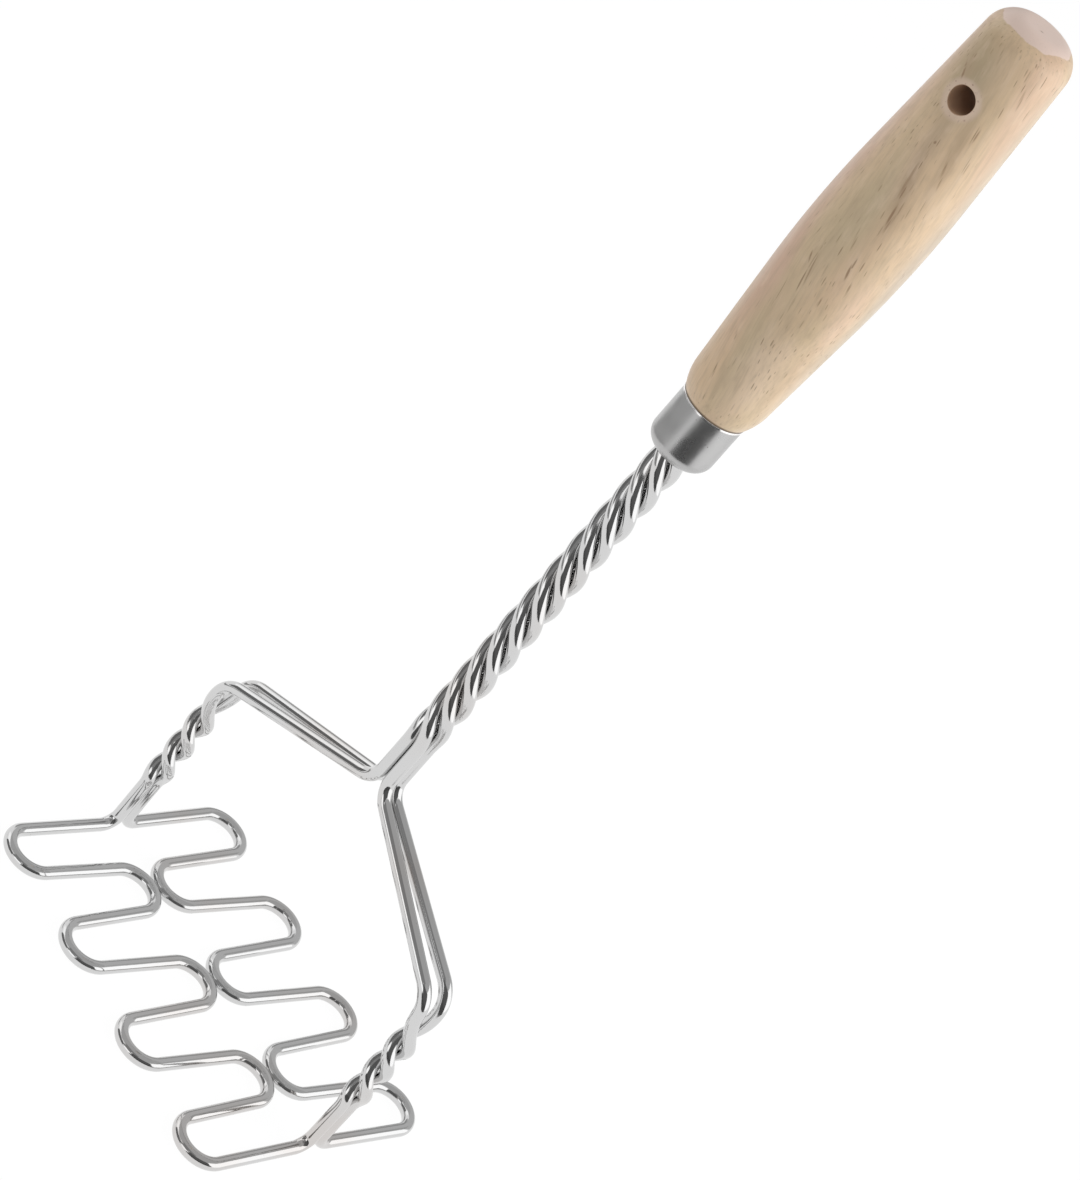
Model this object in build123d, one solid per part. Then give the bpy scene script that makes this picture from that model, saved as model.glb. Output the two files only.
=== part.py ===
"""Potato masher: two bent wires twisted into one shank, a drawn ferrule and a turned handle.

Millimetres. The grid lies flat on Z = 0 with its middle at the origin, the shank
rises along +Z and the two arms spread along X.
"""
import math
import os

from build123d import *

# Wire stock, with the gap between wires side by side and between twisted ones
wire_diameter = 3.4
strand_gap = 0.14
shank_gap = 0.28

# Grid of one wire, the other wire is the same turned half round
finger_count = 4
finger_pitch = 28.4
turn_radius = 6.65
finger_reach = 37.9
leg_inset = 0.6

# Twisted legs
leg_bend_radius = 4.0
leg_twist_foot = 19.5
leg_half_turn_rise = 9.0
leg_half_turns = 3

# Arms
shoulder_height = 56.6
shoulder_bend_radius = 9.0
shoulder_spread = 7.6
arm_slope = 23.0
neck_bend_radius = 6.5

# Twisted shank
shank_twist_foot = 95.1
shank_lay = 35.7
ferrule_foot = 191.0
strand_seat = 26.0

# Ferrule
ferrule_length = 15.0
ferrule_diameter = 16.2
ferrule_wall = 0.6
ferrule_corner_radius = 3.5
rim_lip_width = 0.5
rim_lip_proud = 0.15
fit_clearance = 0.1

# Turned handle, whose two flanks would meet at the corner that the crest rounds
handle_length = 111.3
flank_corner_diameter = 26.5
flank_corner_place = 52.0
crest_radius = 285.0
handle_front_diameter = 19.9
handle_front_place = 6.2
handle_butt_diameter = 20.3
butt_edge_radius = 6.4
bore_end_gap = 1.5
hang_hole_diameter = 6.2
hang_hole_from_butt = 19.2
hang_hole_turn = 9.0
hole_mouth_width = 1.8
hole_mouth_depth = 0.35

# Derived places
quarter_turn = 90.0
half_turn = 180.0
full_turn = 360.0
strand_pitch = wire_diameter + strand_gap
leg_strand_radius = strand_pitch / 2
neck_strand_radius = strand_pitch / math.sqrt(2)
shank_pitch = wire_diameter + shank_gap
shank_strand_radius = shank_pitch / math.sqrt(2 - 2 * (math.pi * shank_pitch / shank_lay) ** 2)
bundle_diameter = 2 * shank_strand_radius + wire_diameter
grid_height = wire_diameter / 2
outer_run = (finger_count - 1) / 2 * finger_pitch + turn_radius
leg_place = outer_run - leg_inset
leg_twist_top = leg_twist_foot + leg_half_turns * leg_half_turn_rise
neck_height = shoulder_height + (leg_place - strand_pitch / 2) * math.tan(math.radians(arm_slope))
rim_height = ferrule_foot + ferrule_length
butt_height = rim_height + handle_length
strand_end = rim_height + strand_seat
bore_diameter = bundle_diameter + fit_clearance

# A twist starts and ends within this share of a half turn
run_out_share = 0.25

# Directions closer than this count as one
same_direction = 1e-6
down = Vector(0, 0, -1)


def biarc(start, end):
    """Two arcs, or one straight, from one station to the next."""
    (p0, t0), (p1, t1) = start, end
    across = p1 - p0
    if (across.normalized() - t0).length < same_direction and (t1 - t0).length < same_direction:
        return [Edge.make_line(p0, p1)]
    both = t0 + t1
    a = 2 * (1 - t0.dot(t1))
    b = 2 * across.dot(both)
    c = across.dot(across)
    if a < same_direction ** 2:
        reach = c / b
    else:
        reach = (math.sqrt(b * b + 4 * a * c) - b) / (2 * a)
    joint = (p0 + p1 + (t0 - t1) * reach) * 0.5
    heading = (p1 - t1 * reach) - (p0 + t0 * reach)
    first = Edge.make_tangent_arc(p0, t0, joint)
    second = Edge.make_tangent_arc(joint, heading.normalized(), p1)
    return [first, second]


def helix_station(axis, radius, angle, height, lay):
    """Point and downward direction on a left-handed strand."""
    turn = math.radians(angle)
    outward = Vector(math.cos(turn), math.sin(turn), 0)
    around = Vector(-math.sin(turn), math.cos(turn), 0)
    point = axis + outward * radius + Vector(0, 0, height)
    return point, (around * (2 * math.pi * radius / lay) + down).normalized()


def shank_strand(start_angle):
    """Stations of one strand from its end in the handle down to the neck."""
    first = start_angle - run_out_share * half_turn
    height = shank_twist_foot + run_out_share * shank_lay / 2
    count = math.ceil((strand_end - height) / (shank_lay / 4))
    step = (strand_end - height) / count
    stations = []
    for index in range(count, -1, -1):
        rise = index * step
        angle = first - full_turn * rise / shank_lay
        stations.append(helix_station(Vector(), shank_strand_radius, angle, height + rise, shank_lay))
    turn = math.radians(start_angle)
    outward = Vector(math.cos(turn), math.sin(turn), 0) * neck_strand_radius
    neck_top = shank_twist_foot - run_out_share * shank_lay / 2
    stations.append((outward + Vector(0, 0, neck_top), down))
    return stations


def bend_reach(radius, before, after):
    """Distance from a corner to where its bend starts."""
    return radius * math.tan(math.radians(before.get_angle(after)) / 2)


def arm_stations(side):
    """Stations of the arm from the neck to the start of the shoulder bend."""
    neck = Vector(side * strand_pitch / 2, strand_pitch / 2, neck_height)
    shoulder = Vector(side * leg_place, shoulder_spread / 2, shoulder_height)
    outward = (shoulder - neck).normalized()
    neck_reach = bend_reach(neck_bend_radius, down, outward)
    shoulder_reach = bend_reach(shoulder_bend_radius, outward, down)
    return [
        (neck - down * neck_reach, down),
        (neck + outward * neck_reach, outward),
        (shoulder - outward * shoulder_reach, outward),
    ]


def leg_stations(side):
    """Stations of the twisted leg down to its bend into the grid."""
    axis = Vector(side * leg_place, 0, 0)
    lay = 2 * leg_half_turn_rise
    top = leg_twist_top - run_out_share * leg_half_turn_rise
    foot = leg_twist_foot + run_out_share * leg_half_turn_rise
    count = 2 * leg_half_turns
    stations = []
    for index in range(count + 1):
        height = top + (foot - top) * index / count
        angle = quarter_turn + full_turn * (leg_twist_top - height) / lay
        stations.append(helix_station(axis, leg_strand_radius, angle, height, lay))
    corner = axis + Vector(0, -leg_strand_radius, grid_height)
    straight_top = leg_twist_foot - run_out_share * leg_half_turn_rise
    stations.append((Vector(corner.X, corner.Y, straight_top), down))
    stations.append((corner - down * leg_bend_radius, down))
    return stations


def tangent_run(first, second):
    """Straight run that leaves one turn and meets the next, turned left where positive."""
    (centre, radius), (next_centre, next_radius) = first, second
    across = next_centre - centre
    lean = math.asin((radius - next_radius) / across.length)
    heading = math.atan2(across.Y, across.X) + lean
    along = Vector(math.cos(heading), math.sin(heading), 0)
    left = Vector(-along.Y, along.X, 0)
    return [(centre - left * radius, along), (next_centre - left * next_radius, along)]


def grid_stations():
    """Stations of the flat zigzag from one leg to the other."""
    corner_y = -leg_strand_radius
    outer_y = turn_radius - finger_reach
    inner_y = -strand_pitch / 2 - turn_radius
    turns = [(Vector(-leg_place, corner_y, grid_height), 0)]
    for finger in range(finger_count):
        place = (finger - (finger_count - 1) / 2) * finger_pitch
        turns.append((Vector(place, outer_y, grid_height), turn_radius))
        if finger < finger_count - 1:
            turns.append((Vector(place + finger_pitch / 2, inner_y, grid_height), -turn_radius))
    turns.append((Vector(leg_place, corner_y, grid_height), 0))
    stations = []
    for first, second in zip(turns, turns[1:]):
        stations += tangent_run(first, second)
    start, along = stations[0]
    stations[0] = (start + along * leg_bend_radius, along)
    end, along = stations[-1]
    stations[-1] = (end - along * leg_bend_radius, along)
    return stations


def backwards(stations):
    """The same stations met the other way round."""
    return [(point, -direction) for point, direction in reversed(stations)]


def half_wire(side):
    """Stations from a strand's end in the handle to the grid on one side."""
    start_angle = quarter_turn - side * quarter_turn / 2
    return shank_strand(start_angle) + arm_stations(side) + leg_stations(side)


def grid_wire():
    """One continuous wire, from the handle through the grid and back."""
    stations = half_wire(-1) + grid_stations() + backwards(half_wire(1))
    edges = []
    for start, end in zip(stations, stations[1:]):
        edges += biarc(start, end)
    path = Wire(edges)
    section = Plane(origin=path @ 0, z_dir=path % 0) * Circle(wire_diameter / 2)
    return sweep(section, path=path)


def ferrule():
    """Drawn steel cup with a rounded bottom corner, a hole and a rim lip."""
    radius = ferrule_diameter / 2
    inner = radius - ferrule_wall
    cup = Pos(Z=ferrule_foot) * Cylinder(radius, ferrule_length, align=(Align.CENTER, Align.CENTER, Align.MIN))
    cup = fillet(cup.edges().sort_by(Axis.Z)[0], ferrule_corner_radius)
    hollow_foot = ferrule_foot + ferrule_wall
    hollow = Pos(Z=hollow_foot) * Cylinder(inner, ferrule_length, align=(Align.CENTER, Align.CENTER, Align.MIN))
    hollow = fillet(hollow.edges().sort_by(Axis.Z)[0], ferrule_corner_radius - ferrule_wall)
    hole = Pos(Z=ferrule_foot) * Cylinder(bore_diameter / 2, ferrule_length)
    lip_shape = Cylinder(radius + rim_lip_proud, rim_lip_width, align=(Align.CENTER, Align.CENTER, Align.MAX))
    lip = Pos(Z=rim_height) * lip_shape
    lip = fillet(lip.edges().group_by(Axis.Z)[-1], rim_lip_proud)
    return cup + lip - hollow - hole


def handle():
    """Turned wooden handle with a spigot, a blind bore and a hang hole."""
    spigot_radius = ferrule_diameter / 2 - ferrule_wall - fit_clearance / 2
    spigot_foot = ferrule_foot + ferrule_wall + fit_clearance / 2
    front_radius = handle_front_diameter / 2
    lip_radius = ferrule_diameter / 2
    corner = ferrule_corner_radius - ferrule_wall
    rim = rim_height + fit_clearance / 2
    with BuildSketch(Plane.XZ) as half:
        with BuildLine():
            spigot = FilletPolyline(
                (0, spigot_foot), (spigot_radius, spigot_foot), (spigot_radius, rim), radius=corner
            )
            step = Line(spigot @ 1, (lip_radius, rim))
            body = FilletPolyline(
                (front_radius, rim_height + handle_front_place),
                (flank_corner_diameter / 2, rim_height + flank_corner_place),
                (handle_butt_diameter / 2, butt_height),
                (0, butt_height),
                radius=(crest_radius, butt_edge_radius),
            )
            TangentArc(body @ 0, step @ 1, tangent=-(body % 0))
            Line(body @ 1, spigot @ 0)
        make_face()
    wood = revolve(half.sketch, axis=Axis.Z)
    bore_top = strand_end + bore_end_gap
    bore = Pos(Z=bore_top) * Cylinder(
        bore_diameter / 2, bore_top - ferrule_foot, align=(Align.CENTER, Align.CENTER, Align.MAX)
    )
    hole_height = butt_height - hang_hole_from_butt
    drill = Rot(0, quarter_turn, 0) * Cylinder(hang_hole_diameter / 2, 2 * flank_corner_diameter)
    hole = Pos(Z=hole_height) * Rot(0, 0, hang_hole_turn - quarter_turn) * drill
    wood = wood - bore - hole
    wall = wood.faces().filter_by(GeomType.CYLINDER).sort_by(Axis.Z)[-1]
    return chamfer(wall.edges(), hole_mouth_depth, hole_mouth_width, reference=wall)


def build():
    """Every piece in its place."""
    near = grid_wire()
    return {
        "near_wire": near,
        "far_wire": Rot(0, 0, half_turn) * near,
        "ferrule": ferrule(),
        "handle": handle(),
    }


os.makedirs("parts", exist_ok=True)
for name, piece in build().items():
    export_step(piece, f"parts/{name}.step")
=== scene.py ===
"""Looks of the potato masher: polished wires, a satin steel ferrule and a lacquered wooden handle."""
import math

import bmesh
import bpy
from mathutils import Matrix, Quaternion, Vector


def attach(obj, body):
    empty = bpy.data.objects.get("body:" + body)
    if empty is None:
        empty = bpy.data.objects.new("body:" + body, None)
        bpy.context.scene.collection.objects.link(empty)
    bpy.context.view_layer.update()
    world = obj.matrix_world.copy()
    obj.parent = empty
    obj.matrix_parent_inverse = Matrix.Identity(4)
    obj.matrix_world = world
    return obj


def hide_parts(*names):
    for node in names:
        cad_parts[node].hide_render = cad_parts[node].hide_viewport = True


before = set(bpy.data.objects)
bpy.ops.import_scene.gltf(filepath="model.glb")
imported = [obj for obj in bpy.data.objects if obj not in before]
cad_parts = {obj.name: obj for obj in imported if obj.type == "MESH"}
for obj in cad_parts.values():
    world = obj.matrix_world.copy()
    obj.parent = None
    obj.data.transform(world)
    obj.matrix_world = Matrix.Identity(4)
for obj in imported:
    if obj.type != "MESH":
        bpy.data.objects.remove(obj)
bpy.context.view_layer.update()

MM = 0.001

# Camera, level before it is rolled about its own line of sight
CAMERA_PLACE = Vector((0.3494, -0.6615, 0.5645))
CAMERA_TARGET = Vector((0.0, -0.0050, 0.1456))
CAMERA_ROLL = math.radians(41.19)
CAMERA_LENS = 128.1

# Studio
STUDIO_MIDDLE = Vector((0, 0, 0.15))
FLOOR_WIDTH = 12.0
FLOOR_GAP = 0.0002
FLOOR_TONE = (0.90, 0.90, 0.90, 1)
FLOOR_GLOW = 0.92
FLOOR_WHITE = 1.04
SKY_STRENGTH = 0.40

# Wires, in millimetres as in the CAD
WIRE_DIAMETER = 3.4
STRAND_PITCH = 3.54
SHANK_PITCH = 3.68
FINGER_COUNT = 4
FINGER_PITCH = 28.4
TURN_RADIUS = 6.65
FINGER_REACH = 37.9
LEG_INSET = 0.6
LEG_BEND_RADIUS = 4.0
LEG_TWIST_FOOT = 19.5
LEG_HALF_TURN_RISE = 9.0
LEG_HALF_TURNS = 3
SHOULDER_HEIGHT = 56.6
SHOULDER_BEND_RADIUS = 9.0
SHOULDER_SPREAD = 7.6
ARM_SLOPE = 23.0
NECK_BEND_RADIUS = 6.5
SHANK_TWIST_FOOT = 95.1
SHANK_LAY = 35.7
RUN_OUT_SHARE = 0.25
WIRE_PLACE = "wire_place"

# Ferrule
FERRULE_FOOT = 191.0
FERRULE_LENGTH = 15.0
FERRULE_RADIUS = 8.1
FERRULE_WALL = 0.6
FERRULE_CORNER = 3.5
LIP_WIDTH = 0.5
LIP_PROUD = 0.15
LIP_ROUND = 0.12
FIT = 0.05

# Handle
HANDLE_LENGTH = 111.3
CORNER_RADIUS = 13.25
CORNER_PLACE = 52.0
CREST_RADIUS = 285.0
FRONT_RADIUS = 9.95
FRONT_PLACE = 6.2
BUTT_RADIUS = 10.15
BUTT_ROUND = 6.4
STRAND_SEAT = 26.0
BORE_END_GAP = 1.5
HOLE_RADIUS = 3.1
HOLE_FROM_BUTT = 19.2
HOLE_TURN = math.radians(9)
MOUTH_WIDTH = 1.8
MOUTH_DEPTH = 0.35

# Fineness of the meshes
WIRE_SIDES = 36
FERRULE_SIDES = 128
HANDLE_SIDES = 192
HOLE_SIDES = 96
MOUTH_MESH_REACHES = (6.5, 5.9)
BEND_STEP = math.radians(4)
OUTLINE_STEP = 2.0
LEAST_ARC_STEPS = 3
MERGE_DISTANCE = 1e-4
SAME_DIRECTION = 1e-6
HOLE_WALL_SLACK = 0.01

# Derived places
DOWN = Vector((0, 0, -1))
GRID_HEIGHT = WIRE_DIAMETER / 2
LEG_STRAND = STRAND_PITCH / 2
NECK_STRAND = STRAND_PITCH / math.sqrt(2)
SHANK_STRAND = SHANK_PITCH / math.sqrt(2 - 2 * (math.pi * SHANK_PITCH / SHANK_LAY) ** 2)
BORE_RADIUS = SHANK_STRAND + WIRE_DIAMETER / 2 + FIT
LEG_PLACE = (FINGER_COUNT - 1) / 2 * FINGER_PITCH + TURN_RADIUS - LEG_INSET
LEG_TWIST_TOP = LEG_TWIST_FOOT + LEG_HALF_TURNS * LEG_HALF_TURN_RISE
NECK_HEIGHT = SHOULDER_HEIGHT + (LEG_PLACE - STRAND_PITCH / 2) * math.tan(math.radians(ARM_SLOPE))
RIM_HEIGHT = FERRULE_FOOT + FERRULE_LENGTH
LIP_FOOT = RIM_HEIGHT - LIP_WIDTH
BUTT_HEIGHT = RIM_HEIGHT + HANDLE_LENGTH
STRAND_END = RIM_HEIGHT + STRAND_SEAT
HOLE_MIDDLE = Vector((0, 0, BUTT_HEIGHT - HOLE_FROM_BUTT))
HOLE_LINE = Vector((math.sin(HOLE_TURN), -math.cos(HOLE_TURN), 0))
MOUTH_RADIUS = HOLE_RADIUS + MOUTH_WIDTH

# Tones of the steel
WIRE_GREY = (0.64, 0.64, 0.64, 1)
WIRE_WARM = (0.625, 0.60, 0.585, 1)
WIRE_PIT = (0.40, 0.38, 0.36, 1)
SATIN_GREY = (0.44, 0.44, 0.44, 1)
SATIN_PALE = (0.50, 0.495, 0.49, 1)
SATIN_PIT = (0.20, 0.19, 0.18, 1)
# painted highlight: a near-white base colour for the rim lip that stands in for its bright glint
LIP_PAINTED_GLINT = (0.90, 0.885, 0.875, 1)

# Tones of the wood
CREAM = (0.765, 0.570, 0.375, 1)
PALE_CREAM = (0.87, 0.68, 0.50, 1)
OLIVE = (0.60, 0.485, 0.305, 1)
DEEP_OLIVE = (0.49, 0.385, 0.24, 1)
# painted shade: greyer tone that dulls the handle's right flank where the key lamp falls
PAINTED_SHADE_OLIVE = (0.58, 0.485, 0.38, 1)
ROSY = (0.70, 0.475, 0.35, 1)
PALE_ROSY = (0.80, 0.57, 0.42, 1)
BROWN = (0.50, 0.36, 0.235, 1)
CLOUD_DARK = (0.55, 0.41, 0.27, 1)
CLOUD_PALE = (0.84, 0.66, 0.49, 1)
FIBRE_BROWN = (0.48, 0.35, 0.225, 1)
PORE_BROWN = (0.31, 0.18, 0.10, 1)
END_GRAIN_PINK = (0.86, 0.68, 0.60, 1)
# painted shade: the dark line where the wood meets the ferrule's lip
RIM_PAINTED_SHADE = (0.14, 0.085, 0.05, 1)
MOUTH_PALE = (0.82, 0.635, 0.51, 1)
MOUTH_DOT = (0.38, 0.19, 0.13, 1)
# bare wood of the hole's wall, made darker still as painted shade inside the hole
HOLE_BARE_AND_SHADE = (0.50, 0.325, 0.21, 1)

# The wood's grain leans a little from the handle's axis
GRAIN = Vector((-0.150, -0.080, 0.985)).normalized()

# Bands of the growth rings: tone, shift, scale, detail, start, end and share
GROWTH_BANDS = (
    (OLIVE, (0.0, 0.0, 0.0), 95.0, 2.0, 0.42, 0.66, 0.5),
    (ROSY, (0.31, 0.17, 0.05), 75.0, 2.0, 0.48, 0.68, 0.5),
    (BROWN, (0.73, 0.41, 0.11), 130.0, 3.0, 0.55, 0.75, 0.35),
)

# Patches of the wood, one of them painted shade on the key-lit right flank: centre, heading, length, width,
# tone and share
WOOD_PATCHES = (
    ((2.0, -12.0, 265.0), (0.0, 0.0, 1.0), 19.0, 7.0, OLIVE, 0.75),
    ((-1.6, -10.8, 303.5), (-0.25, 0.0, 1.0), 15.0, 8.5, DEEP_OLIVE, 0.9),
    ((3.0, -10.0, 225.0), (-0.2, 0.0, 1.0), 15.0, 4.5, OLIVE, 0.4),
    ((7.0, -8.0, 222.0), (-0.1, 0.0, 1.0), 17.0, 6.5, PALE_CREAM, 0.7),
    ((-4.0, -11.4, 247.0), (-0.2, 0.0, 1.0), 15.0, 4.2, ROSY, 0.65),
    ((-9.0, -9.0, 272.0), (0.0, 0.0, 1.0), 44.0, 6.0, ROSY, 0.85),
    ((-5.5, -10.0, 240.0), (-0.1, 0.0, 1.0), 24.0, 6.0, ROSY, 0.75),
    # painted shade: a long grey-olive patch down the right flank that tones down the key-lit side
    ((11.5, 4.5, 262.0), (0.0, 0.0, 1.0), 70.0, 8.0, PAINTED_SHADE_OLIVE, 0.9),
    ((11.0, -4.5, 246.0), (-0.15, -0.1, 1.0), 17.0, 4.0, PALE_ROSY, 0.6),
    ((7.9, -8.6, 288.0), (-0.17, -0.08, 1.0), 15.0, 1.9, BROWN, 0.6),
    ((5.6, -10.7, 277.0), (-0.26, -0.10, 1.0), 15.0, 2.1, BROWN, 0.8),
    ((3.2, -10.9, 289.5), (-0.20, -0.05, 1.0), 8.0, 2.6, BROWN, 0.5),
    ((-2.9, -10.3, 304.0), (-0.51, 0.2, 1.0), 6.5, 1.7, BROWN, 0.45),
)

# Single dark marks that stand out: centre, heading, length and width
WOOD_MARKS = (
    ((1.8, -12.2, 250.7), (-0.25, -0.07, 1.0), 7.5, 0.30),
    ((3.6, -11.5, 241.8), (-0.12, -0.11, 1.0), 4.6, 0.30),
    ((5.1, -11.6, 261.2), (-0.26, -0.12, 1.0), 3.2, 0.36),
    ((7.9, -9.9, 254.7), (-0.22, -0.20, 1.0), 2.6, 0.32),
    ((0.2, -12.5, 251.4), (-0.45, -0.04, 1.0), 1.8, 0.30),
    ((7.7, -10.0, 268.7), (-0.07, -0.02, 1.0), 3.0, 0.34),
    ((7.0, -10.4, 270.5), (-0.16, -0.08, 1.0), 3.2, 0.32),
    ((9.6, -8.0, 251.3), (-0.09, -0.16, 1.0), 2.6, 0.28),
    ((7.4, -9.8, 245.3), (-0.06, -0.11, 1.0), 1.8, 0.32),
    ((8.3, -8.3, 284.4), (-0.29, -0.21, 1.0), 5.4, 0.34),
    ((4.9, -11.1, 278.8), (-0.17, -0.02, 1.0), 5.8, 0.38),
    ((-2.1, -10.6, 302.4), (-0.65, 0.18, 1.0), 3.2, 0.40),
    ((8.3, -7.7, 294.7), (-0.12, -0.05, 1.0), 2.0, 0.28),
    ((9.2, -5.5, 305.9), (-0.18, -0.19, 1.0), 3.0, 0.30),
    ((8.4, -3.4, 313.8), (-0.5, 0.34, 1.0), 3.2, 0.26),
    ((-0.3, -10.2, 216.0), (-0.36, -0.06, 1.0), 2.6, 0.30),
    ((-1.9, -10.8, 225.7), (-0.42, 0.0, 1.0), 1.4, 0.32),
    ((3.8, -11.0, 288.2), (0.2, 0.0, 1.0), 0.5, 0.36),
    ((0.8, -2.3, 317.3), (0.8, 0.5, 0.1), 0.7, 0.34),
)


def new_mesh(name, shape):
    """Mesh made from a bmesh, which is freed."""
    mesh = bpy.data.meshes.new(name)
    shape.to_mesh(mesh)
    shape.free()
    return mesh


def new_object(name, data):
    """Object that carries the data, linked into the scene."""
    thing = bpy.data.objects.new(name, data)
    bpy.context.scene.collection.objects.link(thing)
    return thing


def finish_piece(name, shape, material, node, sharp):
    """Closes a mesh in millimetres into an object in metres that stands for its node."""
    bmesh.ops.remove_doubles(shape, verts=shape.verts, dist=MERGE_DISTANCE)
    bmesh.ops.recalc_face_normals(shape, faces=shape.faces)
    bmesh.ops.scale(shape, vec=(MM, MM, MM), verts=shape.verts)
    mesh = new_mesh(name, shape)
    mesh.shade_smooth()
    mesh.set_sharp_from_angle(angle=math.radians(sharp))
    mesh.materials.append(material)
    piece = new_object(name, mesh)
    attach(piece, "root")
    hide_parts(node)


def edges_of(section):
    """Edges among a section's parts."""
    return [part for part in section if isinstance(part, bmesh.types.BMEdge)]


def verts_of(section):
    """Vertices among a section's parts."""
    return [part for part in section if isinstance(part, bmesh.types.BMVert)]


def arc_on(shape, section, start, heading, end, least_steps=1, longest_step=math.inf):
    """Carries a section along the arc that leaves start on heading and meets end."""
    across = end - start
    axis = heading.cross(across)
    inward = axis.cross(heading).normalized()
    radius = across.length_squared / (2 * across.dot(inward))
    angle = 2 * heading.angle(across)
    steps = max(least_steps, math.ceil(angle / BEND_STEP), math.ceil(angle * radius / longest_step))
    spun = bmesh.ops.spin(
        shape, geom=section, cent=start + inward * radius, axis=axis.normalized(), angle=angle,
        steps=steps, use_duplicate=False,
    )
    return [part for part in spun["geom_last"] if not isinstance(part, bmesh.types.BMFace)]


def straight_on(shape, section, vector):
    """Carries a ring along a straight run."""
    drawn = bmesh.ops.extrude_edge_only(shape, edges=edges_of(section))
    verts = verts_of(drawn["geom"])
    bmesh.ops.translate(shape, verts=verts, vec=vector)
    found = set(verts)
    far = {edge for vert in verts for edge in vert.link_edges if found.issuperset(edge.verts)}
    return verts + list(far)


def biarc_on(shape, section, start, end):
    """Carries a ring along two arcs, or one straight, from one station to the next."""
    (p0, t0), (p1, t1) = start, end
    across = p1 - p0
    if (across.normalized() - t0).length < SAME_DIRECTION and (t1 - t0).length < SAME_DIRECTION:
        return straight_on(shape, section, across)
    a = 2 * (1 - t0.dot(t1))
    b = 2 * across.dot(t0 + t1)
    c = across.length_squared
    if a < SAME_DIRECTION:
        reach = c / b
    else:
        reach = (math.sqrt(b * b + 4 * a * c) - b) / (2 * a)
    joint = (p0 + p1 + (t0 - t1) * reach) / 2
    heading = ((p1 - t1 * reach) - (p0 + t0 * reach)).normalized()
    section = arc_on(shape, section, p0, t0, joint)
    return arc_on(shape, section, joint, heading, p1)


def helix_station(axis, radius, angle, height, lay):
    """Point and downward direction on a left-handed strand."""
    outward = Vector((math.cos(angle), math.sin(angle), 0))
    around = Vector((-math.sin(angle), math.cos(angle), 0))
    point = axis + outward * radius + Vector((0, 0, height))
    return point, (around * (math.tau * radius / lay) + DOWN).normalized()


def shank_stations(start_angle):
    """Stations of one strand from its end in the handle down to the neck."""
    first = start_angle - RUN_OUT_SHARE * math.pi
    height = SHANK_TWIST_FOOT + RUN_OUT_SHARE * SHANK_LAY / 2
    count = math.ceil((STRAND_END - height) / (SHANK_LAY / 4))
    step = (STRAND_END - height) / count
    stations = []
    for index in range(count, -1, -1):
        rise = index * step
        angle = first - math.tau * rise / SHANK_LAY
        stations.append(helix_station(Vector(), SHANK_STRAND, angle, height + rise, SHANK_LAY))
    outward = Vector((math.cos(start_angle), math.sin(start_angle), 0)) * NECK_STRAND
    neck_top = SHANK_TWIST_FOOT - RUN_OUT_SHARE * SHANK_LAY / 2
    stations.append((outward + Vector((0, 0, neck_top)), DOWN))
    return stations


def arm_stations(side):
    """Stations of the arm from the neck to the start of the shoulder bend."""
    neck = Vector((side * STRAND_PITCH / 2, STRAND_PITCH / 2, NECK_HEIGHT))
    shoulder = Vector((side * LEG_PLACE, SHOULDER_SPREAD / 2, SHOULDER_HEIGHT))
    outward = (shoulder - neck).normalized()
    half_bend = math.tan(DOWN.angle(outward) / 2)
    neck_reach = NECK_BEND_RADIUS * half_bend
    shoulder_reach = SHOULDER_BEND_RADIUS * half_bend
    return [
        (neck - DOWN * neck_reach, DOWN),
        (neck + outward * neck_reach, outward),
        (shoulder - outward * shoulder_reach, outward),
    ]


def leg_stations(side):
    """Stations of the twisted leg down to its bend into the grid."""
    axis = Vector((side * LEG_PLACE, 0, 0))
    lay = 2 * LEG_HALF_TURN_RISE
    top = LEG_TWIST_TOP - RUN_OUT_SHARE * LEG_HALF_TURN_RISE
    foot = LEG_TWIST_FOOT + RUN_OUT_SHARE * LEG_HALF_TURN_RISE
    count = 2 * LEG_HALF_TURNS
    stations = []
    for index in range(count + 1):
        height = top + (foot - top) * index / count
        angle = math.pi / 2 + math.tau * (LEG_TWIST_TOP - height) / lay
        stations.append(helix_station(axis, LEG_STRAND, angle, height, lay))
    corner = axis + Vector((0, -LEG_STRAND, GRID_HEIGHT))
    straight_top = LEG_TWIST_FOOT - RUN_OUT_SHARE * LEG_HALF_TURN_RISE
    stations.append((Vector((corner.x, corner.y, straight_top)), DOWN))
    stations.append((corner - DOWN * LEG_BEND_RADIUS, DOWN))
    return stations


def tangent_run(first, second):
    """Straight run that leaves one turn and meets the next, turned left where positive."""
    (centre, radius), (next_centre, next_radius) = first, second
    across = next_centre - centre
    lean = math.asin((radius - next_radius) / across.length)
    heading = math.atan2(across.y, across.x) + lean
    along = Vector((math.cos(heading), math.sin(heading), 0))
    left = Vector((-along.y, along.x, 0))
    return [(centre - left * radius, along), (next_centre - left * next_radius, along)]


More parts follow.
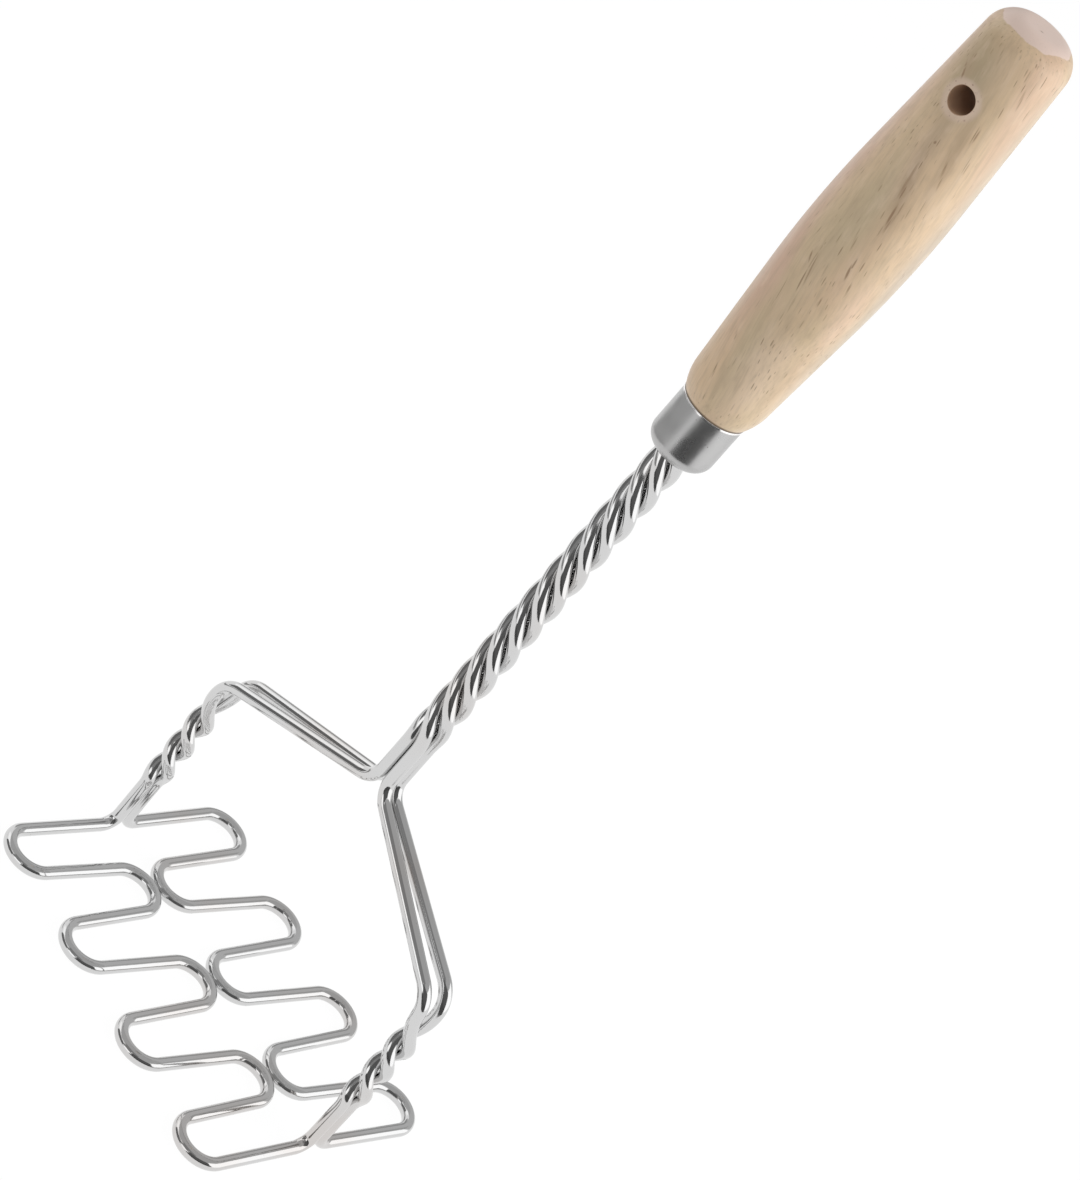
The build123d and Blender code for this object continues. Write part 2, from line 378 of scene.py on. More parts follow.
def grid_stations():
    """Stations of the flat zigzag from one leg to the other."""
    outer = TURN_RADIUS - FINGER_REACH
    inner = -STRAND_PITCH / 2 - TURN_RADIUS
    turns = [(Vector((-LEG_PLACE, -LEG_STRAND, GRID_HEIGHT)), 0)]
    for finger in range(FINGER_COUNT):
        place = (finger - (FINGER_COUNT - 1) / 2) * FINGER_PITCH
        turns.append((Vector((place, outer, GRID_HEIGHT)), TURN_RADIUS))
        if finger < FINGER_COUNT - 1:
            turns.append((Vector((place + FINGER_PITCH / 2, inner, GRID_HEIGHT)), -TURN_RADIUS))
    turns.append((Vector((LEG_PLACE, -LEG_STRAND, GRID_HEIGHT)), 0))
    stations = []
    for first, second in zip(turns, turns[1:]):
        stations += tangent_run(first, second)
    start, along = stations[0]
    stations[0] = (start + along * LEG_BEND_RADIUS, along)
    end, along = stations[-1]
    stations[-1] = (end - along * LEG_BEND_RADIUS, along)
    return stations


def half_wire(side):
    """Stations from a strand's end in the handle to the grid on one side."""
    return shank_stations(math.pi / 2 - side * math.pi / 4) + arm_stations(side) + leg_stations(side)


def open_ring(shape, place, heading, mark):
    """Circle across the wire's heading, with one corner towards a mark and its places round the wire."""
    side = (mark - place).normalized()
    lie = Matrix((side.cross(heading), side, heading)).transposed().to_4x4()
    lie.translation = place
    around = shape.verts.layers.float_vector.new(WIRE_PLACE)
    drawn = bmesh.ops.create_circle(shape, segments=WIRE_SIDES, radius=WIRE_DIAMETER / 2, matrix=lie)
    for index, vert in enumerate(drawn["verts"]):
        turn = math.tau * index / WIRE_SIDES
        vert[around] = (0, math.cos(turn), math.sin(turn))
    return drawn["verts"] + list({edge for vert in drawn["verts"] for edge in vert.link_edges})


def mark_length(shape, run):
    """Writes how far along the wire each ring lies, and gives back where the last one is."""
    around = shape.verts.layers.float_vector[WIRE_PLACE]
    shape.verts.ensure_lookup_table()
    before = None
    for first in range(0, len(shape.verts), WIRE_SIDES):
        ring = shape.verts[first:first + WIRE_SIDES]
        middle = sum((vert.co for vert in ring), Vector()) / WIRE_SIDES
        if before is not None:
            run += (middle - before).length
        before = middle
        for vert in ring:
            vert[around] = (run, vert[around].y, vert[around].z)
    return run


def sweep_wire():
    """One continuous wire, from the handle through the grid and back, swept one length at a time."""
    stations = half_wire(-1) + grid_stations()
    stations += [(point, -heading) for point, heading in reversed(half_wire(1))]
    whole = bmesh.new()
    mesh = bpy.data.meshes.new("wire_length")
    start, heading = stations[0]
    mark = start + heading.orthogonal()
    run = 0
    for index, (before, after) in enumerate(zip(stations, stations[1:])):
        length = bmesh.new()
        section = open_ring(length, before[0], before[1], mark)
        if index == 0:
            bmesh.ops.edgeloop_fill(length, edges=edges_of(section))
        section = biarc_on(length, section, before, after)
        if index == len(stations) - 2:
            bmesh.ops.edgeloop_fill(length, edges=edges_of(section))
        run = mark_length(length, run)
        around = length.verts.layers.float_vector[WIRE_PLACE]
        mark = max(verts_of(section), key=lambda vert: vert[around].y).co.copy()
        length.to_mesh(mesh)
        length.free()
        whole.from_mesh(mesh)
    bpy.data.meshes.remove(mesh)
    return whole


def make_wires(material):
    """The near wire, and the same wire turned half round."""
    near = sweep_wire()
    far = near.copy()
    bmesh.ops.rotate(far, cent=(0, 0, 0), matrix=Matrix.Rotation(math.pi, 3, "Z"), verts=far.verts)
    finish_piece("near_wire_bright", near, material, "near_wire", sharp=60)
    finish_piece("far_wire_bright", far, material, "far_wire", sharp=60)


class Outline:
    """Half outline of a turned piece, drawn as one chain in the XZ plane."""

    def __init__(self, radius, height):
        self.shape = bmesh.new()
        self.place = Vector((radius, 0, height))
        self.tip = [self.shape.verts.new(self.place)]

    def run(self, radius, height):
        """Straight run, cut into short steps."""
        end = Vector((radius, 0, height))
        count = max(1, math.ceil((end - self.place).length / OUTLINE_STEP))
        for _ in range(count):
            drawn = bmesh.ops.extrude_vert_indiv(self.shape, verts=self.tip)
            self.tip = drawn["verts"]
            bmesh.ops.translate(self.shape, verts=self.tip, vec=(end - self.place) / count)
        self.place = end

    def turn(self, radius, height, heading):
        """Arc that leaves on a heading, given as (radius, height), and ends at a place."""
        end = Vector((radius, 0, height))
        leaves = Vector((heading[0], 0, heading[1])).normalized()
        drawn = arc_on(self.shape, self.tip, self.place, leaves, end, LEAST_ARC_STEPS, OUTLINE_STEP)
        self.tip = verts_of(drawn)
        self.place = end

    def rounded(self, corner, beyond, radius):
        """Straight run to a rounded corner and the arc that turns it towards a place beyond."""
        corner = Vector((corner[0], 0, corner[1]))
        beyond = Vector((beyond[0], 0, beyond[1]))
        before = (corner - self.place).normalized()
        after = (beyond - corner).normalized()
        reach = radius * math.tan(before.angle(after) / 2)
        start = corner - before * reach
        end = corner + after * reach
        self.run(start.x, start.z)
        self.turn(end.x, end.z, (before.x, before.z))

    def turned(self, steps):
        """The outline spun once round the Z axis."""
        shape = self.shape
        bmesh.ops.spin(
            shape, geom=shape.verts[:] + shape.edges[:], cent=(0, 0, 0), axis=(0, 0, 1),
            angle=math.tau, steps=steps, use_merge=True, use_duplicate=False,
        )
        return shape


def make_ferrule(material):
    """Drawn steel cup with a rounded bottom corner, a hole and a rim lip."""
    foot = FERRULE_FOOT
    floor = foot + FERRULE_WALL
    inner = FERRULE_RADIUS - FERRULE_WALL
    proud = FERRULE_RADIUS + LIP_PROUD
    outline = Outline(BORE_RADIUS, foot)
    outline.rounded((FERRULE_RADIUS, foot), (FERRULE_RADIUS, RIM_HEIGHT), FERRULE_CORNER)
    outline.run(FERRULE_RADIUS, LIP_FOOT)
    outline.run(proud, LIP_FOOT)
    outline.rounded((proud, RIM_HEIGHT), (inner, RIM_HEIGHT), LIP_ROUND)
    outline.run(inner, RIM_HEIGHT)
    outline.rounded((inner, floor), (BORE_RADIUS, floor), FERRULE_CORNER - FERRULE_WALL)
    outline.run(BORE_RADIUS, floor)
    outline.run(BORE_RADIUS, foot)
    shape = outline.turned(FERRULE_SIDES)
    finish_piece("ferrule_cup", shape, material, "ferrule", sharp=35)


def make_handle(material):
    """Turned wooden handle with a spigot, a blind bore and a hang hole."""
    spigot = FERRULE_RADIUS - FERRULE_WALL - FIT
    spigot_foot = FERRULE_FOOT + FERRULE_WALL + FIT
    rim = RIM_HEIGHT + FIT
    front = (FRONT_RADIUS, RIM_HEIGHT + FRONT_PLACE)
    crest = (CORNER_RADIUS, RIM_HEIGHT + CORNER_PLACE)
    butt = (BUTT_RADIUS, BUTT_HEIGHT)
    flank = Vector((crest[0] - front[0], 0, crest[1] - front[1])).normalized()
    bore_top = STRAND_END + BORE_END_GAP
    outline = Outline(0, BUTT_HEIGHT)
    outline.rounded(butt, crest, BUTT_ROUND)
    outline.rounded(crest, front, CREST_RADIUS)
    outline.run(front[0], front[1])
    outline.turn(FERRULE_RADIUS, rim, (-flank.x, -flank.z))
    outline.run(spigot, rim)
    outline.rounded((spigot, spigot_foot), (0, spigot_foot), FERRULE_CORNER - FERRULE_WALL)
    outline.run(BORE_RADIUS, spigot_foot)
    outline.run(BORE_RADIUS, bore_top)
    outline.run(0, bore_top)
    shape = outline.turned(HANDLE_SIDES)
    refine_mouths(shape)
    shape = drill_handle(shape)
    ease_mouths(shape)
    finish_piece("handle_wood", shape, material, "handle", sharp=40)


def beside_hole(place):
    """Distance of a place from the hole's axis."""
    return (place - HOLE_MIDDLE).cross(HOLE_LINE).length


def refine_mouths(shape):
    """Joins the turned handle's seams and gives it finer faces where the hole comes out."""
    bmesh.ops.remove_doubles(shape, verts=shape.verts, dist=MERGE_DISTANCE)
    bmesh.ops.recalc_face_normals(shape, faces=shape.faces)
    for reach in MOUTH_MESH_REACHES:
        near = [edge for edge in shape.edges if max(beside_hole(vert.co) for vert in edge.verts) < reach]
        bmesh.ops.subdivide_edges(shape, edges=near, cuts=1, use_grid_fill=True)


def drill_handle(shape):
    """The handle with the hang hole drilled through it."""
    drill_shape = bmesh.new()
    lie = Matrix.Translation(HOLE_MIDDLE) @ HOLE_LINE.to_track_quat("Z", "Y").to_matrix().to_4x4()
    bmesh.ops.create_cone(
        drill_shape, cap_ends=True, segments=HOLE_SIDES, radius1=HOLE_RADIUS, radius2=HOLE_RADIUS,
        depth=4 * CORNER_RADIUS, matrix=lie,
    )
    blank = new_object("turned_blank", new_mesh("turned_blank", shape))
    drill = new_object("drill", new_mesh("drill", drill_shape))
    cut = blank.modifiers.new("hang_hole", "BOOLEAN")
    cut.operation = "DIFFERENCE"
    cut.solver = "EXACT"
    cut.object = drill
    ready = blank.evaluated_get(bpy.context.evaluated_depsgraph_get())
    drilled = bmesh.new()
    drilled.from_mesh(ready.to_mesh())
    ready.to_mesh_clear()
    for thing in (blank, drill):
        data = thing.data
        bpy.data.objects.remove(thing)
        bpy.data.meshes.remove(data)
    return drilled


def ease_mouths(shape):
    """Sinks the wood softly round the hole's two mouths."""
    for vert in shape.verts:
        away = beside_hole(vert.co)
        if HOLE_RADIUS - HOLE_WALL_SLACK <= away < MOUTH_RADIUS:
            share = (MOUTH_RADIUS - away) / MOUTH_WIDTH
            side = math.copysign(1, vert.co.dot(HOLE_LINE))
            vert.co -= HOLE_LINE * side * MOUTH_DEPTH * share * share * (3 - 2 * share)


def add(tree, kind, inputs=None, **settings):
    """Adds a shader node, sets it up and links or fills its inputs."""
    node = tree.nodes.new("ShaderNode" + kind)
    for name, value in settings.items():
        setattr(node, name, value)
    for name, value in (inputs or {}).items():
        if isinstance(value, bpy.types.NodeSocket):
            tree.links.new(value, node.inputs[name])
        else:
            node.inputs[name].default_value = value
    return node


def math_of(tree, operation, *values, clamp=False):
    """Result of one sum on values or sockets."""
    return add(tree, "Math", dict(enumerate(values)), operation=operation, use_clamp=clamp).outputs[0]


def vector_of(tree, operation, *places):
    """Result of one sum on places: a place, or a value for a length or a dot product."""
    outputs = add(tree, "VectorMath", dict(enumerate(places)), operation=operation).outputs
    return outputs["Value" if operation in ("LENGTH", "DOT_PRODUCT") else "Vector"]


def stretched(tree, place, across, along):
    """Place stretched across and along Z."""
    stretch = add(tree, "CombineXYZ", {0: across, 1: across, 2: along}).outputs[0]
    return vector_of(tree, "MULTIPLY", place, stretch)


def noise(tree, place, scale, detail, roughness=0.5):
    """Soft noise over a place."""
    inputs = {"Vector": place, "Scale": scale, "Detail": detail, "Roughness": roughness}
    return add(tree, "TexNoise", inputs).outputs["Fac"]


def band(tree, value, low, high):
    """Smooth step of a value from zero at low to one at high."""
    inputs = {"Value": value, "From Min": low, "From Max": high}
    return add(tree, "MapRange", inputs, interpolation_type="SMOOTHSTEP").outputs["Result"]


def spread(tree, value, low, high):
    """Noise spread between two values."""
    inputs = {"Value": value, "From Min": 0.3, "From Max": 0.7, "To Min": low, "To Max": high}
    return add(tree, "MapRange", inputs).outputs["Result"]


def lay_over(tree, colour, tone, mask, share=1.0):
    """Colour with a tone laid over it where a mask is, by a share."""
    amount = math_of(tree, "MULTIPLY", mask, share)
    return add(tree, "Mix", {0: amount, 6: colour, 7: tone}, data_type="RGBA").outputs[2]


def new_group(name, takes, gives):
    """Shader node group with named sockets: what it takes, with a default, and what it gives."""
    group = bpy.data.node_groups.new(name, "ShaderNodeTree")
    for label, kind, value in takes:
        socket = group.interface.new_socket(label, in_out="INPUT", socket_type="NodeSocket" + kind)
        if value is not None:
            socket.default_value = value
    for label in gives:
        group.interface.new_socket(label, in_out="OUTPUT", socket_type="NodeSocketFloat")
    given = group.nodes.new("NodeGroupInput").outputs
    made = group.nodes.new("NodeGroupOutput").inputs
    return group, given, made


def make_drawn_lines():
    """Group of fine lines that run along Z of the place that it is given."""
    takes = [("Place", "Vector", None), ("Across", "Float", 1.0), ("Along", "Float", 1.0)]
    group, given, made = new_group("drawn_lines", takes, ["Lines", "Drift"])
    place = stretched(group, given["Place"], given["Across"], given["Along"])
    group.links.new(noise(group, place, 1.0, 3.0, 0.6), made["Lines"])
    group.links.new(noise(group, place, 0.13, 2.0), made["Drift"])
    return group


def make_specks():
    """Group of sparse specks, round where Along is one and drawn out along Z where it is larger."""
    takes = [
        ("Place", "Vector", None), ("Spacing", "Float", 1.0), ("Along", "Float", 1.0),
        ("Size", "Float", 0.2), ("Share", "Float", 0.5),
    ]
    group, given, made = new_group("specks", takes, ["Specks"])
    across = math_of(group, "DIVIDE", 1.0, given["Spacing"])
    along = math_of(group, "DIVIDE", across, given["Along"])
    place = stretched(group, given["Place"], across, along)
    cells = add(group, "TexVoronoi", {"Vector": place, "Scale": 1.0, "Randomness": 1.0})
    chance = add(group, "SeparateColor", {0: cells.outputs["Color"]}).outputs
    size = math_of(group, "MULTIPLY", given["Size"], math_of(group, "ADD", 0.5, chance[1]))
    away = math_of(group, "DIVIDE", cells.outputs["Distance"], size)
    inside = math_of(group, "SUBTRACT", 1.0, away, clamp=True)
    soft = math_of(group, "MULTIPLY", inside, 2.5, clamp=True)
    kept = math_of(group, "LESS_THAN", chance[0], given["Share"])
    strong = math_of(group, "MULTIPLY_ADD", chance[2], 0.7, 0.3)
    mask = math_of(group, "MULTIPLY", math_of(group, "MULTIPLY", soft, kept), strong)
    group.links.new(mask, made["Specks"])
    return group


def place_lines(tree, lines, place, across, along):
    """The group of drawn lines, placed in a material with its own stretch."""
    return add(tree, "Group", {"Place": place, "Across": across, "Along": along}, node_tree=lines).outputs


def place_specks(tree, specks, place, spacing, along, size, share):
    """The group of specks, placed in a material with its own spacing, stretch, size and share."""
    inputs = {"Place": place, "Spacing": spacing, "Along": along, "Size": size, "Share": share}
    return add(tree, "Group", inputs, node_tree=specks).outputs["Specks"]


def new_material(name):
    """Empty node material, its tree and the socket of its surface."""
    material = bpy.data.materials.new(name)
    material.use_nodes = True
    tree = material.node_tree
    tree.nodes.clear()
    return material, tree, add(tree, "OutputMaterial").inputs["Surface"]


def new_finish(name, plain):
    """Node material, its tree and the sockets of its Principled shader, with its plain values set."""
    material, tree, surface = new_material(name)
    shader = add(tree, "BsdfPrincipled", plain)
    tree.links.new(shader.outputs["BSDF"], surface)
    return material, tree, shader.inputs


def feed(tree, shader, colour, rough, relief, strength, depth):
    """Gives a shader its colour, its roughness and a fine relief."""
    bump = add(tree, "Bump", {"Height": relief, "Strength": strength, "Distance": depth})
    tree.links.new(colour, shader["Base Color"])
    tree.links.new(rough, shader["Roughness"])
    tree.links.new(bump.outputs["Normal"], shader["Normal"])


def make_wire_material(lines, specks):
    """Polished steel wire, with fine drawing lines along it and a few pits."""
    material, tree, shader = new_finish("polished_wire", {"Metallic": 1.0})
    spot = add(tree, "Attribute", attribute_name=WIRE_PLACE)
    parts = add(tree, "SeparateXYZ", {0: spot.outputs["Vector"]}).outputs
    place = add(tree, "CombineXYZ", {0: parts[1], 1: parts[2], 2: parts[0]}).outputs[0]
    drawn = place_lines(tree, lines, place, across=9.0, along=0.05)["Lines"]
    pits = place_specks(tree, specks, place, spacing=1.1, along=1.6, size=0.07, share=0.2)
    where = add(tree, "TexCoord").outputs["Object"]
    tint = band(tree, noise(tree, where, 32.0, 2.0), 0.45, 0.75)
    colour = lay_over(tree, WIRE_GREY, WIRE_WARM, tint)
    colour = lay_over(tree, colour, WIRE_PIT, pits)
    haze = spread(tree, noise(tree, where, 90.0, 3.0), 0.035, 0.10)
    rough = math_of(tree, "MULTIPLY_ADD", drawn, 0.05, haze)
    relief = math_of(tree, "SUBTRACT", drawn, pits)
    feed(tree, shader, colour, rough, relief, strength=0.35, depth=0.012 * MM)
    return material


def make_ferrule_material(lines, specks):
    """Satin steel of the drawn ferrule, with soft haze, a few specks and a polished lip that carries a
    painted highlight.
    """
    material, tree, shader = new_finish("satin_steel", {"Metallic": 1.0})
    where = add(tree, "TexCoord").outputs["Object"]
    drawn = place_lines(tree, lines, where, across=2600.0, along=300.0)["Lines"]
    pits = place_specks(tree, specks, where, spacing=2.2 * MM, along=1.2, size=0.09, share=0.25)
    haze = noise(tree, where, 170.0, 3.0)
    height = add(tree, "SeparateXYZ", {0: where}).outputs[2]
    lip = band(tree, height, (LIP_FOOT - 0.05) * MM, (LIP_FOOT + 0.05) * MM)
    colour = lay_over(tree, SATIN_GREY, SATIN_PALE, haze)
    colour = lay_over(tree, colour, SATIN_PIT, pits)
    # painted highlight on the lip band: its near-white colour stands in for a glint; the lower roughness
    # below is real polish
    colour = lay_over(tree, colour, LIP_PAINTED_GLINT, lip)
    satin = math_of(tree, "SUBTRACT", 1.0, math_of(tree, "MULTIPLY", lip, 0.5))
    rough = math_of(tree, "MULTIPLY", spread(tree, haze, 0.24, 0.34), satin)
    relief = math_of(tree, "SUBTRACT", drawn, pits)
    feed(tree, shader, colour, rough, relief, strength=0.2, depth=0.01 * MM)
    return material


def grain_drift(tree, straight):
    """How far the grain wanders to the side on its way."""
    slow = vector_of(tree, "MULTIPLY", straight, (1.0, 1.0, 0.5))
    drift = add(tree, "TexNoise", {"Vector": slow, "Scale": 70.0, "Detail": 1.0}).outputs["Color"]
    drift = vector_of(tree, "SUBTRACT", drift, (0.5, 0.5, 0.5))
    return vector_of(tree, "MULTIPLY", drift, (3 * MM, 3 * MM, 0.0))


def growth_tones(tree, place):
    """Cream wood with wide soft bands of the growth rings, drawn out along the grain."""
    wide = vector_of(tree, "MULTIPLY", place, (1.0, 1.0, 0.22))
    colour = CREAM
    for tone, shift, scale, detail, start, end, share in GROWTH_BANDS:
        ring = noise(tree, vector_of(tree, "ADD", wide, shift), scale, detail)
        colour = lay_over(tree, colour, tone, band(tree, ring, start, end), share)
    return colour


def away_from(tree, place, centre, heading, width, depth, length):
    """Distance from the middle of an oval that is long on its heading, one at its skin."""
    lie = Vector((0, 0, 1)).rotation_difference(Vector(heading)).to_euler()
    size = Vector((width, depth, length)) * MM
    inputs = {"Vector": place, "Location": Vector(centre) * MM, "Rotation": lie, "Scale": size}
    local = add(tree, "Mapping", inputs, vector_type="TEXTURE").outputs[0]
    return vector_of(tree, "LENGTH", local)


def patchy(tree, colour, where, drift):
    """Colour with soft patches, the wood's own tones and one painted shade on the right flank, whose rims
    wander with the grain.
    """
    wander = vector_of(tree, "MULTIPLY", drift, (1.6, 1.6, 1.6))
    place = vector_of(tree, "ADD", where, wander)
    for centre, heading, length, width, tone, share in WOOD_PATCHES:
        away = away_from(tree, place, centre, heading, width, width, length)
        colour = lay_over(tree, colour, tone, band(tree, away, 1.15, 0.15), share)
    return colour


def mottled(tree, colour, place, fibre):
    """Colour with small clouds and with fibres along the grain."""
    cloud = noise(tree, vector_of(tree, "MULTIPLY", place, (1.0, 1.0, 0.35)), 420.0, 2.0, 0.6)
    colour = lay_over(tree, colour, CLOUD_DARK, band(tree, cloud, 0.5, 0.75), 0.35)
    colour = lay_over(tree, colour, CLOUD_PALE, band(tree, cloud, 0.5, 0.28), 0.30)
    return lay_over(tree, colour, FIBRE_BROWN, band(tree, fibre, 0.40, 0.75), 0.32)


def end_grain(tree, where, normal):
    """Mask of the end grain, where the surface faces along the grain, with a ragged rim."""
    facing = math_of(tree, "ABSOLUTE", vector_of(tree, "DOT_PRODUCT", normal, tuple(GRAIN)))
    ragged = noise(tree, where, 260.0, 2.0)
    return band(tree, math_of(tree, "MULTIPLY_ADD", ragged, 0.22, facing), 0.845, 0.88)


def pore_mask(tree, specks, where, place, fibre, end):
    """Mask of the short dark pores, fewer on the end grain, and of the single marks."""
    small = place_specks(tree, specks, place, spacing=0.62 * MM, along=10.0, size=0.22, share=0.75)
    large = place_specks(tree, specks, place, spacing=0.90 * MM, along=17.0, size=0.16, share=0.55)
    long = place_specks(tree, specks, place, spacing=0.80 * MM, along=44.0, size=0.13, share=0.5)
    crowded = math_of(tree, "MULTIPLY", small, band(tree, fibre["Drift"], 0.38, 0.62))
    pores = math_of(tree, "MAXIMUM", crowded, large)
    pores = math_of(tree, "MAXIMUM", math_of(tree, "MULTIPLY", long, 0.75), pores)
    flank = math_of(tree, "SUBTRACT", 1.0, math_of(tree, "MULTIPLY", end, 0.8))
    pores = math_of(tree, "MULTIPLY", pores, flank)
    broken = band(tree, fibre["Lines"], 0.30, 0.62)
    for centre, heading, length, width in WOOD_MARKS:
        away = away_from(tree, where, centre, heading, width, 1.4 * width, length)
        mark = math_of(tree, "MULTIPLY", band(tree, away, 1.1, 0.3), broken)
        pores = math_of(tree, "MAXIMUM", pores, mark)
    return pores


def painted_rim_shade(tree, colour, where):
    """Colour with painted shade, a dark line in the corner where the wood meets the ferrule's rim."""
    height = add(tree, "SeparateXYZ", {0: where}).outputs[2]
    # painted shade: darkens the wood just above the rim, where the corner lies in shadow
    corner = band(tree, height, (RIM_HEIGHT + 0.75) * MM, (RIM_HEIGHT + 0.25) * MM)
    return lay_over(tree, colour, RIM_PAINTED_SHADE, corner, 0.8)


def hole_masks(tree, where):
    """Masks of the hang hole's eased mouth and of its wall."""
    aside = vector_of(tree, "CROSS_PRODUCT", vector_of(tree, "SUBTRACT", where, HOLE_MIDDLE * MM), HOLE_LINE)
    away = vector_of(tree, "LENGTH", aside)
    mouth = band(tree, away, (MOUTH_RADIUS + 0.3) * MM, (HOLE_RADIUS + 0.6) * MM)
    wall = band(tree, away, (HOLE_RADIUS + 0.12) * MM, (HOLE_RADIUS + 0.02) * MM)
    return mouth, wall


def make_wood_material(lines, specks):
    """Pale lacquered wood: soft bands, fine fibres and short dark pores along a leaning grain."""
    material, tree, shader = new_finish("lacquered_wood", {"Specular IOR Level": 0.45})
    seen = add(tree, "TexCoord").outputs
    where = seen["Object"]
    lean = GRAIN.rotation_difference(Vector((0, 0, 1))).to_euler()
    straight = add(tree, "Mapping", {"Vector": where, "Rotation": lean}).outputs[0]
    drift = grain_drift(tree, straight)
    place = vector_of(tree, "ADD", straight, drift)
    fibre = place_lines(tree, lines, place, across=1900.0, along=70.0)
    end = end_grain(tree, where, seen["Normal"])
    pores = pore_mask(tree, specks, where, place, fibre, end)
    mouth, wall = hole_masks(tree, where)
    dots = place_specks(tree, specks, where, spacing=0.7 * MM, along=1.0, size=0.28, share=0.5)

    colour = patchy(tree, growth_tones(tree, place), where, drift)
    colour = mottled(tree, colour, place, fibre["Lines"])
    colour = lay_over(tree, colour, END_GRAIN_PINK, end, 0.9)
    colour = lay_over(tree, colour, PORE_BROWN, pores, 0.75)
    colour = painted_rim_shade(tree, colour, where)
    colour = lay_over(tree, colour, MOUTH_PALE, mouth, 0.65)
    colour = lay_over(tree, colour, MOUTH_DOT, math_of(tree, "MULTIPLY", dots, mouth))
    # hole wall: bare wood tone, partly painted shade that darkens the inside of the hole
    colour = lay_over(tree, colour, HOLE_BARE_AND_SHADE, wall)

    lacquer = spread(tree, fibre["Drift"], 0.30, 0.42)
    rough = add(tree, "MapRange", {"Value": wall, "To Min": lacquer, "To Max": 0.85}).outputs["Result"]
    relief = math_of(tree, "SUBTRACT", math_of(tree, "MULTIPLY", fibre["Lines"], 0.4), pores)
    feed(tree, shader, colour, rough, relief, strength=0.5, depth=0.04 * MM)
    return material


def make_camera():
    """Camera at the photograph's place, turned about its line of sight."""
    data = bpy.data.cameras.new("camera")
    data.sensor_fit = "HORIZONTAL"
    data.sensor_width = 36.0
    data.lens = CAMERA_LENS
    data.clip_start = 0.05
    data.clip_end = 20.0
    camera = new_object("camera", data)
    level = (CAMERA_TARGET - CAMERA_PLACE).to_track_quat("-Z", "Y")
    camera.rotation_mode = "QUATERNION"
    camera.rotation_quaternion = level @ Quaternion((0, 0, 1), CAMERA_ROLL)
    camera.location = CAMERA_PLACE
    bpy.context.scene.camera = camera


def seen_in_gloss(tree):
    """One where a camera, glossy or transmission ray looks, zero where light is gathered."""
    path = add(tree, "LightPath").outputs
    either = math_of(tree, "MAXIMUM", path["Is Camera Ray"], path["Is Glossy Ray"])
    return math_of(tree, "MAXIMUM", either, path["Is Transmission Ray"])


def make_world():
    """Even sky, white where it is seen or mirrored."""
    world = bpy.data.worlds.new("studio")
    bpy.context.scene.world = world
    world.use_nodes = True
    tree = world.node_tree
    tree.nodes.clear()
    inputs = {"Value": seen_in_gloss(tree), "To Min": SKY_STRENGTH, "To Max": 1.0}
    strength = add(tree, "MapRange", inputs).outputs["Result"]
    back = add(tree, "Background", {"Color": (1, 1, 1, 1), "Strength": strength}).outputs["Background"]
    add(tree, "OutputWorld", {"Surface": back})


def flat_sheet(name, width, height):
    """Flat rectangle about the origin."""
    shape = bmesh.new()
    bmesh.ops.create_grid(shape, x_segments=1, y_segments=1, size=0.5)
    bmesh.ops.scale(shape, vec=(width, height, 1), verts=shape.verts)
    return new_object(name, new_mesh(name, shape))


def make_floor():
    """White floor that keeps the object's shadow."""
    floor = flat_sheet("floor", FLOOR_WIDTH, FLOOR_WIDTH)
    floor.location.z = -FLOOR_GAP
    material, tree, surface = new_material("floor_white")
    matt = {"Base Color": FLOOR_TONE, "Roughness": 1.0, "Specular IOR Level": 0.0}
    ground = add(tree, "BsdfPrincipled", matt).outputs["BSDF"]
    glow = add(tree, "Emission", {"Color": (1, 1, 1, 1), "Strength": FLOOR_WHITE}).outputs["Emission"]
    share = math_of(tree, "MULTIPLY", seen_in_gloss(tree), FLOOR_GLOW)
    both = add(tree, "MixShader", {0: share, 1: ground, 2: glow}).outputs["Shader"]
    tree.links.new(both, surface)
    floor.data.materials.append(material)


def put_round(thing, azimuth, elevation, distance):
    """Puts a lamp or a card round the object, by angles in degrees, facing its middle."""
    turn, rise = math.radians(azimuth), math.radians(elevation)
    level = math.cos(rise)
    outward = Vector((level * math.cos(turn), level * math.sin(turn), math.sin(rise)))
    place = STUDIO_MIDDLE + distance * outward
    thing.location = place
    thing.rotation_mode = "QUATERNION"
    thing.rotation_quaternion = (STUDIO_MIDDLE - place).to_track_quat("-Z", "Y")


def make_lamp(name, azimuth, elevation, distance, width, height, level):
    """Soft box that lights the object; cards stand in for it in polished metal."""
    data = bpy.data.lights.new(name, "AREA")
    data.shape = "RECTANGLE"
    data.size = width
    data.size_y = height
    data.energy = level * math.pi * width * height
    lamp = new_object(name, data)
    lamp.visible_glossy = False
    put_round(lamp, azimuth, elevation, distance)


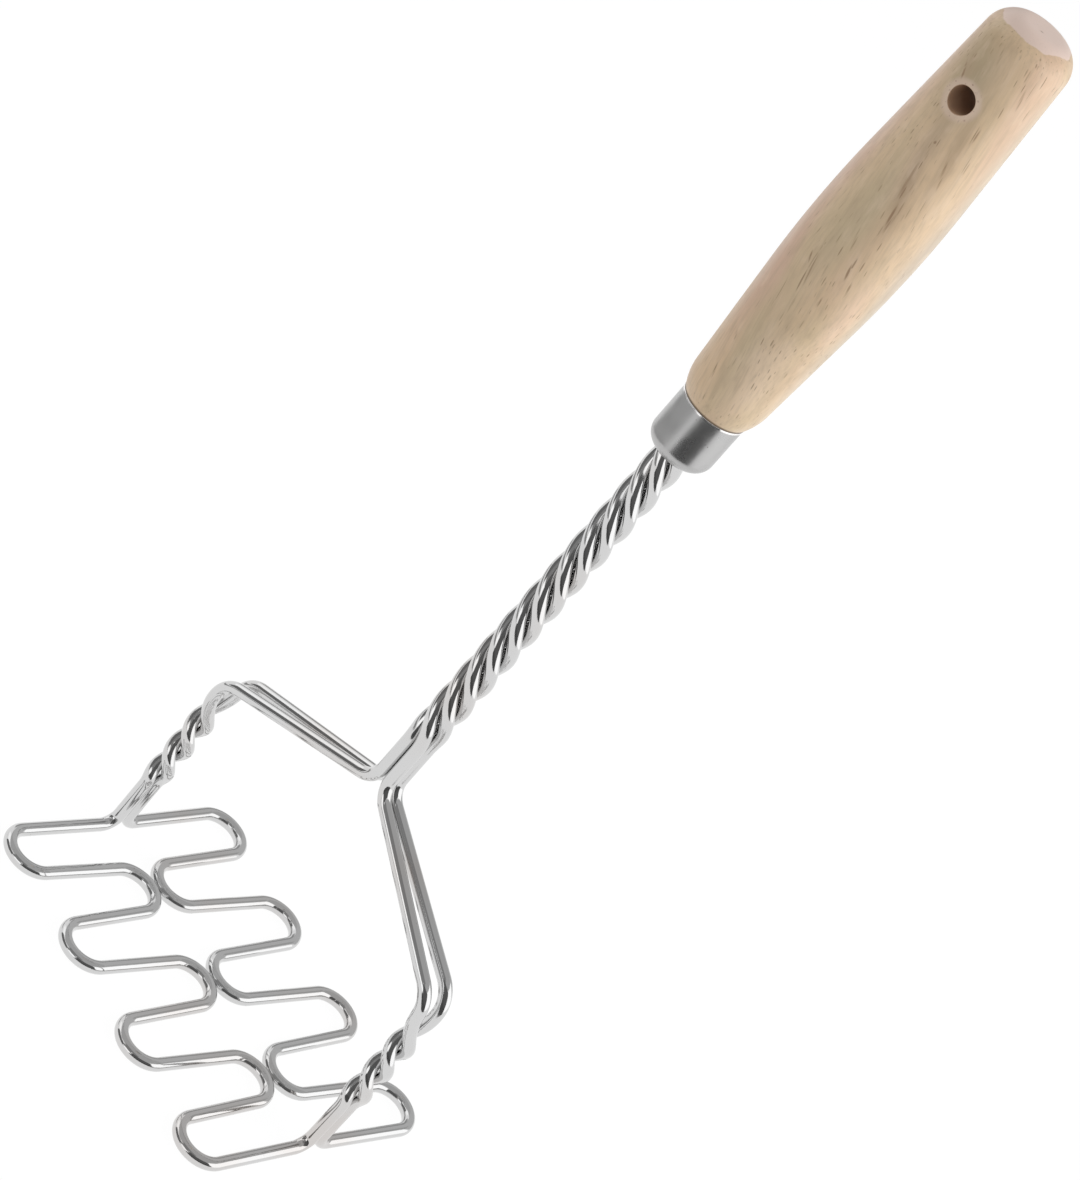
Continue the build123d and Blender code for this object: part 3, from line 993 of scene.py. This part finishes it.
def make_card(name, azimuth, elevation, distance, width, height, level, lies=False):
    """Studio card that only polished metal shows, as a stripe of its own grey; it may lie flat."""
    card = flat_sheet(name, width, height)
    material, tree, surface = new_material(name)
    glow = add(tree, "Emission", {"Color": (level, level, level, 1)}).outputs["Emission"]
    tree.links.new(glow, surface)
    card.data.materials.append(material)
    card.visible_camera = False
    card.visible_diffuse = False
    card.visible_shadow = False
    card.visible_transmission = False
    put_round(card, azimuth, elevation, distance)
    if lies:
        card.rotation_quaternion = Quaternion((0, 0, 1), math.radians(azimuth + 90))


def make_studio():
    """Lamps and cards: azimuth, elevation, distance, width, height and level of each."""
    make_lamp("key_box", 30, 24, 1.15, 1.2, 1.1, 2.7)
    make_lamp("fill_box", 205, 30, 1.3, 0.8, 0.8, 1.9)
    make_lamp("front_box", -45, 38, 0.9, 0.22, 0.22, 2.6)
    make_card("ceiling_card", 0, 90, 1.25, 3.2, 3.2, 0.48)
    make_card("back_card", 100, 20, 1.2, 1.8, 1.4, 0.58)
    make_card("back_edge_card", 75, 34, 1.1, 0.30, 0.34, 0.44)
    make_card("back_dark_card", 136, 12, 1.1, 0.60, 0.34, 0.36)
    make_card("key_card", 26, 5, 0.43, 0.54, 0.42, 1.5)
    make_card("front_bright_card", -86, -4, 0.5, 0.26, 0.16, 1.45)
    make_card("front_middle_card", -88, 18, 0.9, 0.66, 0.40, 0.27)
    make_card("front_spot_card", -52, 27, 0.8, 0.58, 0.075, 1.5)
    make_card("left_bright_card", -173, 22.5, 1.2, 0.66, 0.47, 1.3)
    make_card("left_dark_card", -134, 7, 1.1, 1.10, 0.58, 0.17)
    make_card("left_floor_card", -138, -22, 0.385, 0.62, 0.20, 0.32, lies=True)
    make_card("front_dark_card", -36, 1, 0.36, 0.47, 0.35, 0.12)
    make_card("front_floor_card", -38, -32, 0.28, 0.40, 0.16, 0.08)
    make_card("front_high_card", -80, 43, 1.2, 1.0, 0.75, 0.27)


make_camera()
make_world()
make_floor()
make_studio()
drawn_lines = make_drawn_lines()
speck_mask = make_specks()
make_wires(make_wire_material(drawn_lines, speck_mask))
make_ferrule(make_ferrule_material(drawn_lines, speck_mask))
make_handle(make_wood_material(drawn_lines, speck_mask))
bpy.context.scene.view_settings.view_transform = "Standard"
